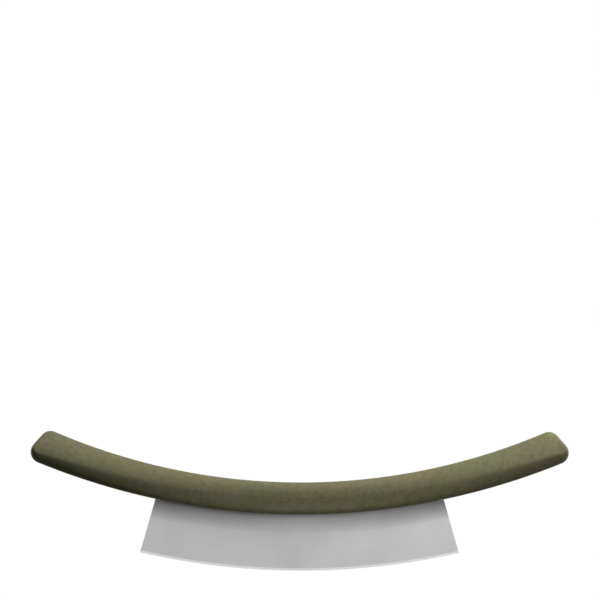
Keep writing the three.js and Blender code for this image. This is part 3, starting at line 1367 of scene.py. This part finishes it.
@dataclass
class Lamp:
    """Soft rectangular lamp that looks at a point."""

    name: str
    place: tuple[float, float, float]
    width: float
    height: float
    power: float
    target: tuple[float, float, float] = (0.0, 0.0, 0.05)

    def build(self) -> None:
        """Hang the lamp, hidden from the camera."""
        bpy.ops.object.select_all(action="DESELECT")
        bpy.ops.object.light_add(type="AREA", location=self.place)
        lamp = bpy.context.object
        lamp.name = self.name
        lamp.data.shape = "RECTANGLE"
        lamp.data.size = self.width
        lamp.data.size_y = self.height
        lamp.data.energy = self.power
        look = Vector(self.target) - Vector(self.place)
        lamp.rotation_euler = look.to_track_quat("-Z", "Y").to_euler()
        lamp.visible_camera = False


@dataclass
class Studio:
    """Pale floor, white surround, soft lamps and the camera."""

    view_width: float = 0.4241
    view_centre: tuple[float, float] = (0.0, 0.1913)
    view_distance: float = 1.6
    roll: float = math.radians(-0.12)
    floor_size: float = 8.0
    floor_grey: float = 0.2
    floor_glow: float = 0.72
    floor_fade: tuple[float, float] = (0.22, 0.46)
    ambient: float = 0.11
    bounce: float = 0.02
    lamps: tuple[Lamp, ...] = (
        Lamp("key", (0.52, -0.22, 0.85), 0.45, 0.35, 8.8),
        Lamp("fill", (0.74, -0.95, 0.34), 0.5, 0.4, 5.4),
        Lamp("back", (-0.70, 1.10, 0.50), 0.6, 0.5, 9.0),
    )

    def camera(self) -> None:
        """Set up the camera of the photograph: straight on."""
        bpy.ops.object.select_all(action="DESELECT")
        across, height = self.view_centre
        bpy.ops.object.camera_add(location=(across, -self.view_distance, height),
                                  rotation=(math.pi / 2, self.roll, 0))
        camera = bpy.context.object
        camera.name = "photo_camera"
        camera.data.type = "ORTHO"
        camera.data.ortho_scale = self.view_width
        bpy.context.scene.camera = camera

    def split(self, shader: Shader, light: Node, look: Node) -> Node:
        """Mix one shader for the light that a surface gives with another for how it looks.

        Args:
            shader: Nodes of the material or the world.
            light: Shader for the light that it gives.
            look: Shader for the camera, reflections and clear materials.

        Returns:
            The mix.
        """
        rays = shader.add("ShaderNodeLightPath").outputs
        seen = shader.sum_of("MAXIMUM", rays["Is Camera Ray"], rays["Is Glossy Ray"])
        shown = shader.sum_of("MAXIMUM", seen, rays["Is Transmission Ray"])
        return shader.add("ShaderNodeMixShader", {0: shown, 1: light.outputs[0], 2: look.outputs[0]})

    def fade(self, shader: Shader) -> Socket:
        """Share of white that the floor runs out into, for the camera alone.

        Args:
            shader: Nodes of the floor's material.

        Returns:
            The share, which grows with the distance from the knife.
        """
        place = shader.add("ShaderNodeTexCoord").outputs["Object"]
        away = shader.add("ShaderNodeVectorMath", {0: place}, operation="LENGTH").outputs["Value"]
        seen = shader.add("ShaderNodeLightPath").outputs["Is Camera Ray"]
        return shader.sum_of("MULTIPLY", seen, shader.between(away, 0.0, 1.0, *self.floor_fade))

    def floor(self) -> None:
        """Lay the floor: pale to the eye and in the steel, dark for the light that it throws back."""
        bpy.ops.object.select_all(action="DESELECT")
        bpy.ops.mesh.primitive_plane_add(size=self.floor_size)
        floor = bpy.context.object
        floor.name = "floor"
        material = bpy.data.materials.new("pale_floor")
        material.use_nodes = True
        shader = Shader(material.node_tree)
        shader.tree.nodes.clear()
        lit = shader.add("ShaderNodeBsdfDiffuse", {"Color": grey(self.floor_grey)})
        glow = shader.add("ShaderNodeEmission", {"Color": grey(1.0), "Strength": self.floor_glow})
        pale = shader.add("ShaderNodeAddShader", {0: lit.outputs[0], 1: glow.outputs[0]})
        dull = shader.add("ShaderNodeBsdfDiffuse", {"Color": grey(self.bounce)})
        near = self.split(shader, dull, pale)
        white = shader.add("ShaderNodeEmission", {"Color": grey(1.0), "Strength": 1.0})
        whole = {0: self.fade(shader), 1: near.outputs[0], 2: white.outputs[0]}
        faded = shader.add("ShaderNodeMixShader", whole)
        shader.add("ShaderNodeOutputMaterial", {"Surface": faded.outputs[0]})
        floor.data.materials.append(material)

    def surround(self) -> None:
        """White all round to the eye and in the steel, a dim grey as light."""
        world = bpy.data.worlds.new("white_surround")
        world.use_nodes = True
        shader = Shader(world.node_tree)
        shader.tree.nodes.clear()
        white = shader.add("ShaderNodeBackground", {"Color": grey(1.0), "Strength": 1.0})
        dim = shader.add("ShaderNodeBackground", {"Color": grey(self.ambient), "Strength": 1.0})
        both = self.split(shader, dim, white)
        shader.add("ShaderNodeOutputWorld", {"Surface": both.outputs[0]})
        bpy.context.scene.world = world

    def build(self) -> None:
        """Set everything up."""
        bpy.context.scene.view_settings.view_transform = "Standard"
        self.camera()
        self.floor()
        self.surround()
        for lamp in self.lamps:
            lamp.build()


def fit(piece: Piece, node: str) -> None:
    """Smooth a finished piece and put it in the place of its CAD node.

    Args:
        piece: The finished piece.
        node: CAD node that it replaces.
    """
    take(piece)
    bpy.ops.object.shade_smooth_by_angle(angle=SMOOTH_ANGLE)
    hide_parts(node)
    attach(piece, BODY)
    log.info("%s replaces %s: %d faces", piece.name, node, len(piece.data.polygons))


def main() -> None:
    """Build every piece, dress it and set up the studio."""
    logging.basicConfig(level=logging.INFO, format="%(name)s: %(message)s")
    bar = Bar()
    dowels = Dowels()
    blade = Blade(bar, dowels)
    grip = Grip(bar, blade, dowels)
    effects = Effects()
    # The brushed flank gets a band of painted shade under the bar, standing for the bar's shadow.
    brushed = Steel("brushed_steel", dark=0.64, pale=0.67, roughness=0.94, spread=0.02, lines=Lines.UPRIGHT,
                    painted_shade_band=(0.18, 0.60))
    ground = Steel("ground_steel", dark=0.71, pale=0.76, roughness=0.40, spread=0.03, lines=Lines.UPRIGHT,
                   relief=0.03)
    turned = Steel("turned_steel", dark=0.44, pale=0.54, roughness=0.34, spread=0.08, lines=Lines.TURNED)
    on_flank, on_bevel, on_dowel = (steel.material(effects) for steel in (brushed, ground, turned))
    olive = OliveComposite().material(effects)
    for node, dowel in dowels.build().items():
        dowel.data.materials.append(on_dowel)
        fit(dowel, node)
    plate = blade.build()
    blade.dress(plate, on_flank, on_bevel)
    fit(plate, "blade")
    for side, half in grip.build().items():
        half.data.materials.clear()
        half.data.materials.append(olive)
        fit(half, f"handle_{side.name.lower()}_half")
    Studio().build()


if __name__ == "__main__":
    main()
